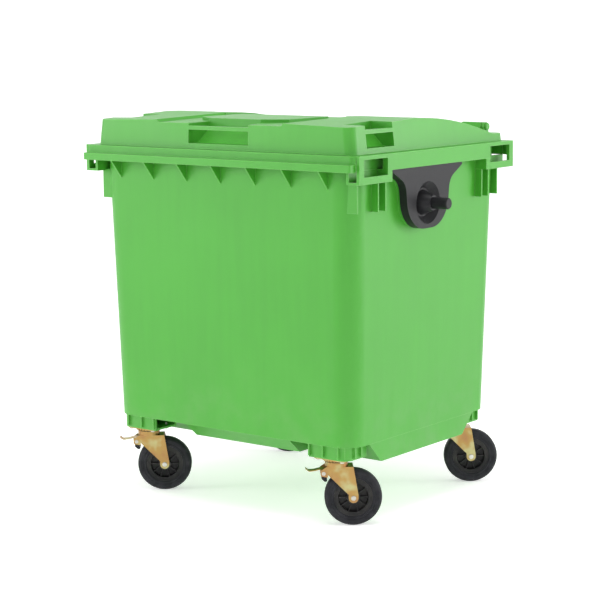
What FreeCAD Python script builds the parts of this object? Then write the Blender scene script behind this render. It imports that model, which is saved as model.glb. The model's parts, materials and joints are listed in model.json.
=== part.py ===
"""Four-wheeled waste container with a hinged flat lid, trunnion pins and swivel castors.

Millimetres, +Z up.  The origin is on the ground under the middle of the container, +X runs along its
length towards one trunnion pin, and -Y is the front, where the lid's grip is.
"""
import FreeCAD, Part

import math
import os

import Sketcher
from FreeCAD import Placement, Rotation, Vector

DOCUMENT = FreeCAD.newDocument("waste_container")
SHEET = DOCUMENT.addObject("Spreadsheet::Sheet", "Sizes")

# Each driving size: its name in the sheet, its value and what it measures.
DRIVING_SIZES = [
    # tub
    ("tub_wall", 6, "thickness of the moulded tub"),
    ("tub_foot_x", 540.5, "half length of the tub where its walls end, at the foot"),
    ("tub_foot_y", 445.5, "half depth of the tub at the foot"),
    ("tub_draft_out", 25, "how much further out each wall is at the rim than at the foot"),
    ("tub_round", 80, "plan radius of the tub's corners"),
    ("foot_over", 48, "height of the walls' lower edge above the castors' top faces"),
    ("tub_high", 1002, "height of the tub's walls"),
    # rim
    ("rim_wall", 6, "thickness of the rim's plate and skirts"),
    ("rim_side_wall", 8.5, "thickness of the rim's skirts at the sides"),
    ("rim_out_x", 34.5, "how far the rim stands out of the side walls"),
    ("rim_out_front", 34.5, "how far the rim stands out of the front wall"),
    ("rim_out_rear", 19.5, "how far the rim stands out of the rear wall"),
    ("rim_round", 22, "plan radius of the rim's corners"),
    ("rim_depth", 53, "height of the rim's skirts"),
    ("lip_out", 21, "how far the comb lip stands out in front of the rim's upper skirt"),
    ("lip_top", 28, "depth of the comb lip's ledge under the rim's top"),
    ("lip_short", 3, "how much shorter than the rim the comb lip is at each end"),
    ("band_out", 12, "how far the side bands and pocket frames stand out of the rim"),
    ("band_y", 301, "half length of a side band"),
    ("band_depth", 56, "height of a side band"),
    # gussets under the comb lip
    ("gusset_count", 7, "gussets under the comb lip"),
    ("gusset_pitch", 154.6, "distance between two gussets"),
    ("gusset_wall", 5, "thickness of a gusset"),
    ("gusset_drop", 119, "depth of a gusset's tip under the rim's top"),
    # pocket frames at the four upper corners
    ("frame_back_front", 13, "distance of a front pocket frame behind the rim's front"),
    ("frame_back_rear", 3, "distance of a rear pocket frame ahead of the rim's rear"),
    ("frame_bite", 7.5, "how deep the pocket frames reach into the side walls"),
    ("frame_wall", 12, "thickness of a frame's side panel"),
    ("frame_floor", 8, "thickness of a frame's floor behind its sill"),
    ("frame_depth", 95, "height of a pocket frame"),
    ("frame_post", 26, "width of a frame's upright"),
    ("frame_sill", 24, "height of a frame's sill"),
    ("frame_head", 13, "height of a frame's head"),
    ("pocket_reach", 44, "depth of the pocket in a frame"),
    ("fin_wall", 6, "thickness of the fins under a frame"),
    ("fin_out", 24, "how far the inner fins stand out of the tub's wall at the rim"),
    ("fin_end_out", 6, "how far the end fins stand out of the tub's wall at the rim"),
    ("fin_end_gap", 46, "distance of the end fins from the frames' far edges"),
    ("fin_drop", 195, "depth of the fins' lower end under the rim's top"),
    ("fin_pair_gap", 44, "distance between the two inner fins"),
    # underside
    ("trough_x", 238, "half length of the middle trough"),
    ("trough_inset", 33.5, "distance of the trough's mouth from the walls"),
    ("trough_slope", 77, "depth of the trough's sloping ends"),
    ("trough_drop", 66, "depth of the trough's floor under the walls' lower edge"),
    ("floor_round", 8, "radius of the outer edges of the trough's and the belly's floor"),
    ("belly_gap", 47, "distance of the belly's mouth from the swivel axes"),
    ("belly_slope", 73, "depth of the belly's sloping ends"),
    ("belly_inset", 2, "how far the belly's ends stand back from the side walls"),
    ("belly_drop", 73, "depth of the belly's floor under the walls' lower edge"),
    ("pad_inner_reach", 80, "reach of a castor pad inwards along the length from the swivel axis"),
    ("pad_outer_reach", 83, "reach of a castor pad outwards along the length from the swivel axis"),
    ("pad_inner_deep", 64, "reach of a castor pad inwards along the depth from the swivel axis"),
    ("pad_outer_deep", 52, "reach of a castor pad outwards along the depth from the swivel axis"),
    ("pad_round", 34, "plan radius of a pad's outer corner"),
    ("pad_wall", 7, "wall of a castor pad"),
    ("rib_wall", 6, "thickness of the ribs around a castor pad"),
    ("rib_out", 9, "how far the ribs stand out of a castor pad"),
    # trunnions
    ("pin_round", 20, "radius of a trunnion pin's free end"),
    ("pin_root_round", 16, "radius of a trunnion pin in its hub"),
    ("pin_chamfer", 3, "chamfer of a trunnion pin's end"),
    ("pin_relief", 1, "gap between a pin's shoulder and its hub"),
    ("pin_out", 63, "length of a trunnion pin beyond its hub"),
    ("pin_y", -68, "place of the trunnion pins along the depth"),
    ("pin_drop", 185, "depth of the trunnion pins under the rim's top"),
    ("boss_out", 6.5, "how far the bosses stand out of the side walls at the rim"),
    ("plate_thick", 31, "thickness of a trunnion plate"),
    ("plate_top_half", 218, "half width of a trunnion plate at its top"),
    ("plate_waist_half", 138, "half width of a trunnion plate at its waist"),
    ("plate_waist_rise", 75, "height of the waist's upper corner above the pin"),
    ("plate_waist_round", 60, "radius where the waist flares out"),
    ("plate_foot_half", 118, "half width of a trunnion plate at its foot"),
    ("plate_foot_round", 108, "radius of the foot's corners"),
    ("plate_edge", 8, "height of the straight edge at a trunnion plate's top"),
    ("boss_inset", 3, "how far a boss stands back from its plate's outline"),
    ("plate_rise", 127, "height of a trunnion plate above the pin"),
    ("plate_fall", 89, "height of a trunnion plate under the pin"),
    ("dish_round", 75, "radius of the dish around the pin"),
    ("dish_depth", 24, "depth of the dish"),
    ("dish_bank", 6, "how far the dish's edge stands in from its rim"),
    ("hub_out", 54, "how far the hubs stand out of the bosses"),
    ("hub_base", 44, "radius of a hub at the dish's floor"),
    ("hub_lip", 6, "wall of a hub around the pin's free end, at its tip"),
    ("plate_bolt_round", 5, "radius of the bolts of a trunnion plate"),
    ("plate_bolt_across", 16, "size across the flats of those bolts' heads"),
    ("plate_bolt_head", 6, "thickness of those bolts' heads"),
    ("plate_bolt_cover", 8, "material that covers those bolts' tips"),
    ("plate_bolt_down", 30, "distance of the upper bolts under a plate's top"),
    ("plate_bolt_in", 30, "distance of the upper bolts inside the waist"),
    ("plate_bolt_foot_in", 24, "distance of the lower bolts inside the foot"),
    ("fit_gap", 0.05, "radial clearance of a running fit"),
    ("loose_gap", 0.4, "clearance between a bolt and its hole, and between parts that are near each other"),
    # lid
    ("lid_wall", 5, "thickness of the lid"),
    ("lid_back_x", 25, "distance of the lid's sides behind the rim's sides"),
    ("lid_back_front", 26, "distance of the lid's front behind the rim's front"),
    ("lid_back_rear", 2, "distance of the lid's rear ahead of the rim's rear"),
    ("lid_draft_in", 13, "how much further in the lid's side faces are at the lid's highest level"),
    ("lid_round", 36, "plan radius of the lid's corners"),
    ("crest_rise", 106, "height of the lid's crest above the rim"),
    ("crest_y", -95, "place of the lid's crest"),
    ("dome_drop", 72, "how far the lid's curve falls between the crest and the bend into the tail"),
    ("dome_blend", 900, "radius that smooths the lid's curve"),
    ("tail_bend", 120, "radius of the bend into the tail"),
    ("deck_rise", 90, "height of the lid's front corners above the rim"),
    ("strip_rise", 98, "height of the lid's front edge beside the middle above the rim"),
    ("strip_x", 286, "half length of the lowered middle"),
    ("strip_slope", 12, "width of the slope beside the lowered middle"),
    ("middle_drop", 9, "how far the middle lies under the strips beside it"),
    ("panel_rise", 103.5, "height of the raised panel above the rim"),
    ("panel_half", 196, "half length of the raised panel"),
    ("panel_back", 154, "distance behind the lid's front where the raised panel has its full length"),
    ("tail_long", 83, "length of the lid's flat tail"),
    ("tail_rise", 27, "height of the lid's flat tail above the rim"),
    # grips in the lid
    ("grip_half", 134, "half length of the front grip's window"),
    ("grip_rear_half", 115, "half length of the front grip's well at its rear edge"),
    ("grip_low_rise", 19, "height of the grip windows' lower edge above the rim"),
    ("grip_bar_rise", 67, "height of the grip bars' underside above the rim"),
    ("grip_bar_thick", 13, "thickness of the grip bars"),
    ("grip_bar_wide", 24, "width of a grip bar"),
    ("grip_reach", 98, "depth of the front grip's well"),
    ("side_grip_back", 85, "distance of the side grips behind the lid's front"),
    ("side_grip_long", 162, "length of the side grips"),
    ("side_grip_reach", 100, "depth of the side grips' wells"),
    ("well_wall", 4, "thickness of the wells' walls"),
    ("well_bend", 20, "radius of the bend in a well's floor"),
    ("grip_bar_round", 4, "radius of a grip bar's edges"),
    # hinge of the lid
    ("hinge_out", 20, "distance of the lid's hinge axis behind the rim"),
    ("hinge_rise", 46, "height of the lid's hinge axis above the rim"),
    ("knuckle_round", 16, "outside radius of the hinge knuckles"),
    ("hinge_pin_round", 8, "radius of the hinge pins"),
    ("hinge_pitch", 431, "distance between two hinges along the length"),
    ("knuckle_half", 38, "half length of a knuckle of the lid"),
    ("ear_wall", 12, "thickness of an ear of the tub"),
    ("ear_gap", 1, "clearance between a knuckle and an ear"),
    ("ear_drop", 40, "depth of an ear's foot under the rim's top"),
    ("ear_shoulder", 8, "height of an ear's shoulder above the rim's top"),
    ("arm_gap", 4, "clearance of a knuckle's arm over the rim and behind the lid"),
    ("cap_round", 14, "radius of a hinge pin's cap"),
    ("cap_thick", 8, "thickness of a hinge pin's cap"),
    ("cap_edge", 5, "radius of a cap's edge"),
    # castors
    ("castor_inset_x", 108.5, "distance of the swivel axes from the tub's ends at the foot"),
    ("castor_inset_y", 63.5, "distance of the swivel axes from the tub's front and rear at the foot"),
    ("castor_over", 40, "height of the castors' top faces above the wheels"),
    ("castor_turn", 38.7, "angle of the castors' trail from +X, in degrees"),
    ("trail", 58, "distance of the wheel's axle behind the swivel axis"),
    ("wheel_round", 100, "radius of the wheels"),
    ("tyre_half", 25, "half width of a tyre"),
    ("tread_round", 8, "radius of a tyre's tread edges"),
    ("rim_seat", 67.5, "radius on which the tyre sits"),
    ("rim_half", 21, "half width of a wheel centre's ring"),
    ("ring_inner", 53, "inner radius of a wheel centre's ring"),
    ("hub_round", 22, "radius of a wheel centre's hub"),
    ("hub_half", 29, "half width of a wheel's hub"),
    ("web_half", 4, "half thickness of a wheel centre's web"),
    ("spoke_count", 10, "ribs on each side of a wheel centre's web"),
    ("spoke_wide", 3, "thickness of a rib"),
    ("spoke_inset", 4, "how far the ribs stand back from the ring's edge"),
    ("bush_round", 10, "outside radius of a wheel's bush"),
    ("axle_round", 6, "radius of an axle"),
    ("axle_head_round", 9, "radius of an axle's head"),
    ("axle_head_thick", 3, "thickness of an axle's head"),
    ("axle_nut_across", 19, "size across the flats of an axle's nut"),
    ("axle_nut_thick", 10, "thickness of an axle's nut"),
    ("fork_gap_half", 30.5, "half of the gap between a fork's arms"),
    ("fork_wall", 3.5, "thickness of a fork's steel"),
    ("fork_lead", 36, "reach of a fork's crown ahead of the swivel axis"),
    ("fork_back", 58, "reach of a fork's crown behind the swivel axis"),
    ("fork_end_round", 17, "radius of a fork's arm at the axle"),
    ("crown_under", 29, "depth of a fork's crown under the castor's top face"),
    ("cup_round", 40, "outside radius of the swivel cup"),
    ("cup_high", 15, "height of the swivel cup above the crown"),
    ("cup_wall", 3.5, "thickness of the swivel cup"),
    ("race_high", 13, "height of the ball race"),
    ("top_plate_x", 65, "half length of a castor's top plate"),
    ("top_plate_y", 49, "half width of a castor's top plate"),
    ("top_plate_thick", 4, "thickness of a castor's top plate"),
    ("top_hole_x", 52.5, "half pitch of the top plate's holes along the length"),
    ("top_hole_y", 37.5, "half pitch of the top plate's holes along the depth"),
    ("screw_round", 4.5, "radius of the castor screws"),
    ("screw_across", 13, "size across the flats of a castor screw's head"),
    ("screw_head", 5, "thickness of a castor screw's head"),
    ("screw_past", 6, "how far a castor screw stands out of its pad's floor"),
    ("kingpin_round", 6, "radius of a kingpin"),
    ("kingpin_head_out", 6, "how far a kingpin's head stands out of it"),
    ("kingpin_head_thick", 3.5, "thickness of a kingpin's head"),
    ("rivet_out", 5, "how far a kingpin's riveted end stands out of it"),
    ("rivet_high", 8, "height of a kingpin's riveted end"),
    # wheel brakes
    ("brake_pivot_x", -45, "place of the brake pivot ahead of the swivel axis"),
    ("brake_drop", 23, "depth of the brake pivot under the fork's crown"),
    ("brake_pin_round", 4, "radius of the brake pivot pin"),
    ("pedal_half", 24, "half width of a brake pedal's yoke"),
    ("lever_half", 14, "half width of a brake pedal's lever"),
    ("brake_sheet", 3, "thickness of a brake pedal's steel"),
    ("pedal_reach", 108, "distance of a pedal's tip from the swivel axis"),
    ("lock_ring_round", 46, "outside radius of the toothed ring over the fork"),
    ("lock_ring_teeth", 24, "teeth of the toothed ring"),
    # drain
    ("drain_round", 30, "radius of the drain hole"),
    ("drain_y", -120, "place of the drain hole along the depth"),
    ("plug_flange", 38, "radius of the drain plug's flange"),
    ("plug_thick", 5, "thickness of the drain plug's flange"),
    ("seal_thick", 2, "thickness of the drain plug's seal"),
]


class Size:
    """A number together with the sheet expression that it comes from."""

    def __init__(self, value, text):
        self.value = float(value)
        self.text = text

    def __add__(self, other):
        return Size(self.value + number(other), f"({self.text} + {words(other)})")

    def __radd__(self, other):
        return Size(number(other) + self.value, f"({words(other)} + {self.text})")

    def __sub__(self, other):
        return Size(self.value - number(other), f"({self.text} - {words(other)})")

    def __rsub__(self, other):
        return Size(number(other) - self.value, f"({words(other)} - {self.text})")

    def __mul__(self, other):
        return Size(self.value * number(other), f"({self.text} * {words(other)})")

    def __rmul__(self, other):
        return Size(number(other) * self.value, f"({words(other)} * {self.text})")

    def __truediv__(self, other):
        return Size(self.value / number(other), f"({self.text} / {words(other)})")

    def __neg__(self):
        return Size(-self.value, f"(-1 * {self.text})")


def number(size):
    return size.value if isinstance(size, Size) else float(size)


def words(size):
    return size.text if isinstance(size, Size) else f"{size:.6f}"


def bind(thing, prop, size):
    """Set a property, and tie it to the sheet when the size comes from there."""
    if "." not in prop:
        setattr(thing, prop, number(size))
    if isinstance(size, Size):
        thing.setExpression(prop, size.text)


class Sheet:
    """The driving sizes, each an attribute that knows its cell."""

    def __init__(self, rows):
        for row, (alias, value, note) in enumerate(rows, start=1):
            SHEET.set(f"A{row}", alias)
            SHEET.set(f"B{row}", str(value))
            SHEET.set(f"C{row}", note)
            SHEET.setAlias(f"B{row}", alias)
            setattr(self, alias, Size(value, f"Sizes.{alias}"))


D = Sheet(DRIVING_SIZES)
ZERO = Size(0, "0")
DOCUMENT.recompute()

# Sizes that follow from the driving ones.
TUB_RIM_X = D.tub_foot_x + D.tub_draft_out
TUB_RIM_Y = D.tub_foot_y + D.tub_draft_out
D.castor_high = D.wheel_round * 2 + D.castor_over
D.foot_z = D.castor_high + D.foot_over
D.rim_z = D.foot_z + D.tub_high
D.rim_x = TUB_RIM_X + D.rim_out_x
D.rim_front = TUB_RIM_Y + D.rim_out_front
D.rim_rear = TUB_RIM_Y + D.rim_out_rear
D.lip_x = D.rim_x - D.lip_short
D.band_x = D.rim_x + D.band_out
D.frame_front = D.rim_front - D.frame_back_front
D.frame_rear = D.rim_rear - D.frame_back_rear
D.frame_root_x = TUB_RIM_X - D.frame_bite
D.castor_x = D.tub_foot_x - D.castor_inset_x
D.castor_y = D.tub_foot_y - D.castor_inset_y
D.trough_mouth_y = D.tub_foot_y - D.trough_inset
D.trough_floor_y = D.trough_mouth_y - D.trough_slope
D.trough_floor_z = D.foot_z - D.trough_drop
D.belly_mouth_y = D.castor_y - D.belly_gap
D.belly_floor_y = D.belly_mouth_y - D.belly_slope
D.belly_floor_z = D.foot_z - D.belly_drop
D.pad_inner_x = D.castor_x - D.pad_inner_reach
D.pad_outer_x = D.castor_x + D.pad_outer_reach
D.pad_inner_y = D.castor_y - D.pad_inner_deep
D.pad_outer_y = D.castor_y + D.pad_outer_deep
D.pin_z = D.rim_z - D.pin_drop
D.boss_x = TUB_RIM_X + D.boss_out
D.hub_end_x = D.boss_x + D.hub_out
D.pin_end_x = D.hub_end_x + D.pin_out
D.lid_foot_x = D.rim_x - D.lid_back_x
D.lid_front = D.rim_front - D.lid_back_front
D.lid_rear = D.rim_rear - D.lid_back_rear
D.crest_z = D.rim_z + D.crest_rise
D.deck_front_z = D.rim_z + D.deck_rise
D.strip_z = D.rim_z + D.strip_rise
D.panel_z = D.rim_z + D.panel_rise
D.panel_y = -D.lid_front + D.panel_back
D.tail_y = D.lid_rear - D.tail_long
D.tail_z = D.rim_z + D.tail_rise
D.grip_low_z = D.rim_z + D.grip_low_rise
D.grip_bar_z = D.rim_z + D.grip_bar_rise
D.grip_bar_top = D.grip_bar_z + D.grip_bar_thick
D.side_grip_front = -D.lid_front + D.side_grip_back
D.side_grip_rear = D.side_grip_front + D.side_grip_long
D.hinge_y = D.rim_rear + D.hinge_out
D.hinge_z = D.rim_z + D.hinge_rise
D.crown_z = D.castor_high - D.crown_under
D.brake_pivot_z = D.crown_z - D.brake_drop

# The straight stretch that stays between two arcs of an outline.
ARC_SPARE = 0.1

NODES = []


def keep(thing, name):
    """Name a finished sub-part and list it for writing."""
    thing.Label = name
    NODES.append(thing)
    return thing


# ---------------------------------------------------------------- sketches and features


def sketch_on(body, plane, offset):
    """A sketch on one origin plane of the body, moved along that plane's normal."""
    sketch = body.newObject("Sketcher::SketchObject", f"{body.Name}_sketch")
    support = [feature for feature in body.Origin.OriginFeatures if feature.Role == plane][0]
    sketch.AttachmentSupport = [(support, "")]
    sketch.MapMode = "FlatFace"
    sketch.AttachmentOffset = Placement(Vector(0, 0, number(offset)), Rotation())
    bind(sketch, "AttachmentOffset.Base.z", offset)
    return sketch


def fix_point(sketch, item, spot, x, y):
    """Tie one point of a sketch to its distances from the sketch's origin."""
    for kind, size in (("DistanceX", x), ("DistanceY", y)):
        index = sketch.addConstraint(Sketcher.Constraint(kind, -1, 1, item, spot, number(size)))
        if isinstance(size, Size):
            sketch.setExpression(f"Constraints[{index}]", size.text)


def draw_circle(sketch, x, y, radius):
    shape = Part.Circle(Vector(number(x), number(y), 0), Vector(0, 0, 1), number(radius))
    item = sketch.addGeometry(shape, False)
    index = sketch.addConstraint(Sketcher.Constraint("Radius", item, number(radius)))
    if isinstance(radius, Size):
        sketch.setExpression(f"Constraints[{index}]", radius.text)
    fix_point(sketch, item, 3, x, y)


def draw_outline(sketch, points):
    """A closed outline through corners (x, y), or (x, y, radius) where the corner is round."""
    spots = [Vector(number(point[0]), number(point[1]), 0) for point in points]
    total = len(points)
    arrive, leave, arcs = [], [], []
    for index, point in enumerate(points):
        here = spots[index]
        if len(point) == 2:
            arrive.append(here)
            leave.append(here)
            arcs.append(None)
            continue
        back = (spots[index - 1] - here).normalize()
        ahead = (spots[(index + 1) % total] - here).normalize()
        half = back.getAngle(ahead) / 2
        radius = number(point[2])
        reach = radius / math.tan(half)
        arrive.append(here + back * reach)
        leave.append(here + ahead * reach)
        centre = here + (back + ahead).normalize() * (radius / math.sin(half))
        left_turn = back.cross(ahead).z < 0
        first, last = (arrive[-1], leave[-1]) if left_turn else (leave[-1], arrive[-1])
        angles = [math.atan2(spot.y - centre.y, spot.x - centre.x) for spot in (first, last)]
        if angles[1] < angles[0]:
            angles[1] += 2 * math.pi
        circle = Part.Circle(centre, Vector(0, 0, 1), radius)
        arcs.append((Part.ArcOfCircle(circle, angles[0], angles[1]), left_turn))
    lines = []
    for index in range(total):
        edge = Part.LineSegment(leave[index], arrive[(index + 1) % total])
        lines.append(sketch.addGeometry(edge, False))
    for index, point in enumerate(points):
        before, after = lines[index - 1], lines[index]
        if arcs[index] is None:
            sketch.addConstraint(Sketcher.Constraint("Coincident", before, 2, after, 1))
            fix_point(sketch, after, 1, point[0], point[1])
            continue
        arc, left_turn = arcs[index]
        item = sketch.addGeometry(arc, False)
        start, end = (1, 2) if left_turn else (2, 1)
        sketch.addConstraint(Sketcher.Constraint("Tangent", before, 2, item, start))
        sketch.addConstraint(Sketcher.Constraint("Tangent", item, end, after, 1))
        radius = sketch.addConstraint(Sketcher.Constraint("Radius", item, number(point[2])))
        if isinstance(point[2], Size):
            sketch.setExpression(f"Constraints[{radius}]", point[2].text)
        corner = sketch.addGeometry(Part.Point(spots[index]), True)
        sketch.addConstraint(Sketcher.Constraint("PointOnObject", corner, 1, before))
        sketch.addConstraint(Sketcher.Constraint("PointOnObject", corner, 1, after))
        fix_point(sketch, corner, 1, point[0], point[1])


def draw(sketch, outlines):
    """Each outline is a list of corners, or one circle as a plain (x, y, radius)."""
    for outline in outlines:
        if isinstance(outline, tuple):
            draw_circle(sketch, *outline)
        else:
            draw_outline(sketch, outline)
    return sketch


def feature(body, kind, sketch, length):
    made = body.newObject(f"PartDesign::{kind}", f"{body.Name}_{kind.lower()}")
    made.Profile = sketch
    bind(made, "Length", length)
    return made


def pad_z(body, outlines, low, high):
    return feature(body, "Pad", draw(sketch_on(body, "XY_Plane", low), outlines), high - low)


def pocket_z(body, outlines, low, high):
    return feature(body, "Pocket", draw(sketch_on(body, "XY_Plane", high), outlines), high - low)


def pad_x(body, outlines, low, high):
    return feature(body, "Pad", draw(sketch_on(body, "YZ_Plane", low), outlines), high - low)


def pocket_x(body, outlines, low, high):
    return feature(body, "Pocket", draw(sketch_on(body, "YZ_Plane", high), outlines), high - low)


def pad_y(body, outlines, low, high):
    return feature(body, "Pad", draw(sketch_on(body, "XZ_Plane", -high), outlines), high - low)


def pocket_y(body, outlines, low, high):
    return feature(body, "Pocket", draw(sketch_on(body, "XZ_Plane", -low), outlines), high - low)


def turn_z(body, outline, kind="Revolution"):
    """Revolve an outline of (radius, height) about the body's Z axis."""
    sketch = draw(sketch_on(body, "XZ_Plane", 0), [outline])
    made = body.newObject(f"PartDesign::{kind}", f"{body.Name}_{kind.lower()}")
    made.Profile = sketch
    made.ReferenceAxis = (sketch, ["V_Axis"])
    made.Angle = 360
    return made


def loft_z(body, kind, low_outline, low, high_outline, high):
    made = body.newObject(f"PartDesign::{kind}", f"{body.Name}_loft")
    made.Profile = draw(sketch_on(body, "XY_Plane", low), [low_outline])
    made.Sections = [draw(sketch_on(body, "XY_Plane", high), [high_outline])]
    made.Ruled = True
    return made


def loft_y(body, kind, near_outline, near, far_outline, far):
    made = body.newObject(f"PartDesign::{kind}", f"{body.Name}_loft")
    made.Profile = draw(sketch_on(body, "XZ_Plane", -near), [near_outline])
    made.Sections = [draw(sketch_on(body, "XZ_Plane", -far), [far_outline])]
    made.Ruled = True
    return made


def repeat_round(body, original, count):
    """Repeat a feature evenly about the body's Z axis."""
    DOCUMENT.recompute()
    axis = [item for item in body.Origin.OriginFeatures if item.Role == "Z_Axis"][0]
    pattern = body.newObject("PartDesign::PolarPattern", f"{body.Name}_pattern")
    pattern.Originals = [original]
    pattern.Axis = (axis, [""])
    pattern.Angle = 360
    pattern.Occurrences = int(number(count))
    pattern.setExpression("Occurrences", count.text)
    body.Tip = pattern
    return pattern


def repeat_along(body, original, role, length, count):
    """Repeat a feature evenly along one axis of the body."""
    DOCUMENT.recompute()
    axis = [item for item in body.Origin.OriginFeatures if item.Role == role][0]
    pattern = body.newObject("PartDesign::LinearPattern", f"{body.Name}_pattern")
    pattern.Originals = [original]
    pattern.Direction = (axis, [""])
    bind(pattern, "Length", length)
    pattern.Occurrences = int(number(count))
    pattern.setExpression("Occurrences", count.text)
    body.Tip = pattern
    return pattern


def new_body(name):
    return DOCUMENT.addObject("PartDesign::Body", name)


def box(x_low, x_high, y_low, y_high, radius=None):
    """Corners of a rectangle, all of them round when a radius is given."""
    corners = [(x_low, y_low), (x_high, y_low), (x_high, y_high), (x_low, y_high)]
    if radius is None:
        return corners
    return [(x, y, radius) for x, y in corners]


def plan(half_x, half_y, radius):
    return box(-half_x, half_x, -half_y, half_y, radius)


# ---------------------------------------------------------------- tub

LIP_Y = D.rim_front + D.lip_out
LIP_LOW_Z = D.rim_z - D.rim_depth
FRAME_LOW_Z = D.rim_z - D.frame_depth


def hinge_places():
    """Places along the length of the lid's hinges."""
    return [-D.hinge_pitch, ZERO, D.hinge_pitch]


def add_rim(tub):
    """The rim: a plate with skirts, the comb lip in front and the bands at the sides."""
    pad_z(tub, [box(-D.rim_x, D.rim_x, -D.rim_front, D.rim_rear, D.rim_round)], LIP_LOW_Z, D.rim_z)
    pad_z(
        tub,
        [box(-D.lip_x, D.lip_x, -LIP_Y, -D.rim_front + D.rim_wall + D.lip_out, D.rim_wall)],
        LIP_LOW_Z,
        D.rim_z - D.lip_top,
    )
    pad_z(tub, [box(-D.band_x, D.band_x, -D.band_y, D.band_y)], D.rim_z - D.band_depth, D.rim_z)
    frames = []
    for x_low, x_high in ((-D.band_x, -D.frame_root_x), (D.frame_root_x, D.band_x)):
        for y_low, y_high in ((-D.frame_front, -D.band_y), (D.band_y, D.frame_rear)):
            frames.append(box(x_low, x_high, y_low, y_high))
    pad_z(tub, frames, FRAME_LOW_Z, D.rim_z)


def hollow_rim(tub):
    """Open the rim, the comb lip and the side bands from below."""
    wall_line = plan(TUB_RIM_X, TUB_RIM_Y, D.tub_round)
    under = D.rim_z - D.rim_wall
    inner_x = D.rim_x - D.rim_side_wall
    pocket_z(
        tub,
        [
            box(-inner_x, inner_x, -D.rim_front + D.rim_wall, D.rim_rear - D.rim_wall, D.rim_round),
            wall_line,
        ],
        LIP_LOW_Z,
        under,
    )
    pocket_z(
        tub,
        [box(-D.lip_x + D.rim_wall, D.lip_x - D.rim_wall, -LIP_Y + D.rim_wall, -D.rim_front + D.rim_wall)],
        LIP_LOW_Z,
        D.rim_z - D.lip_top - D.rim_wall,
    )
    for side in (-1, 1):
        ends = (side * (TUB_RIM_X + 1), side * (D.band_x - D.rim_wall))
        x_low, x_high = sorted(ends, key=number)
        reach = D.band_y - D.rim_wall
        pocket_z(tub, [box(x_low, x_high, -reach, reach)], D.rim_z - D.band_depth, under)


def add_gussets(tub):
    """Triangular gussets between the front wall and the comb lip."""
    width = D.gusset_pitch * (D.gusset_count - 1)
    wall_y = TUB_RIM_Y - D.tub_wall / 2
    triangle = [
        (-wall_y, D.rim_z - D.gusset_drop),
        (-wall_y, D.rim_z - D.rim_wall / 2),
        (-D.rim_front, D.rim_z - D.lip_top),
        (-LIP_Y + D.rim_wall / 2, D.rim_z - D.lip_top - D.rim_wall / 2),
        (-LIP_Y + D.rim_wall / 2, LIP_LOW_Z),
    ]
    first = pad_x(tub, [triangle], -(width + D.gusset_wall) / 2, -(width - D.gusset_wall) / 2)
    repeat_along(tub, first, "X_Axis", width, D.gusset_count)


def add_fins(tub):
    """Upright fins on the side walls under the pocket frames."""
    root_x = TUB_RIM_X - D.tub_draft_out / 2
    half = D.fin_wall / 2
    inner = D.band_y + D.fin_wall
    footprints = []
    for end, edge in ((-1, D.frame_front), (1, D.frame_rear)):
        places = (
            (edge - D.fin_end_gap, root_x - D.fin_end_gap, D.fin_end_out),
            (inner, root_x, D.fin_out),
            (inner + D.fin_pair_gap, root_x, D.fin_out),
        )
        for place, root, out in places:
            middle = end * place
            far = TUB_RIM_X + out
            footprints.append(box(root, far, middle - half, middle + half))
            footprints.append(box(-far, -root, middle - half, middle + half))
    pad_z(tub, footprints, D.rim_z - D.fin_drop, FRAME_LOW_Z + D.frame_floor / 2)


def add_bosses(tub):
    """Bosses on the side walls that carry the trunnion plates."""
    outline = [
        (D.pin_y + x, D.pin_z + y, *rest)
        for x, y, *rest in trunnion_outline(D.boss_inset)
    ]
    root_x = TUB_RIM_X - D.tub_draft_out / 2
    pad_x(tub, [outline], root_x, D.boss_x)
    pad_x(tub, [outline], -D.boss_x, -root_x)


def add_underside(tub):
    """The trough along the depth, the belly along the length and the castor pads."""
    roof = D.foot_z + D.tub_wall
    trough = [
        (-D.trough_floor_y, D.trough_floor_z, D.floor_round),
        (D.trough_floor_y, D.trough_floor_z, D.floor_round),
        (D.trough_mouth_y, D.foot_z),
        (D.trough_mouth_y, roof),
        (-D.trough_mouth_y, roof),
        (-D.trough_mouth_y, D.foot_z),
    ]
    pad_x(tub, [trough], -D.trough_x, D.trough_x)
    belly = [
        (-D.belly_floor_y, D.belly_floor_z, D.floor_round),
        (D.belly_floor_y, D.belly_floor_z, D.floor_round),
        (D.belly_mouth_y, D.foot_z),
        (D.belly_mouth_y, roof),
        (-D.belly_mouth_y, roof),
        (-D.belly_mouth_y, D.foot_z),
    ]
    belly_x = D.tub_foot_x - D.belly_inset
    pad_x(tub, [belly], -belly_x, belly_x)
    pads, ribs = [], []
    for x_side in (-1, 1):
        for y_side in (-1, 1):
            inner_x, outer_x = x_side * D.pad_inner_x, x_side * D.pad_outer_x
            inner_y, outer_y = y_side * D.pad_inner_y, y_side * D.pad_outer_y
            corners = [
                (inner_x, inner_y),
                (outer_x, inner_y),
                (outer_x, outer_y, D.pad_round),
                (inner_x, outer_y),
            ]
            if x_side != y_side:
                corners.reverse()
            pads.append(corners)
            ribs += pad_ribs(x_side, y_side)
    pad_z(tub, pads, D.castor_high, roof)
    pad_z(tub, ribs, D.castor_high + D.pad_wall, roof)


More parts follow.
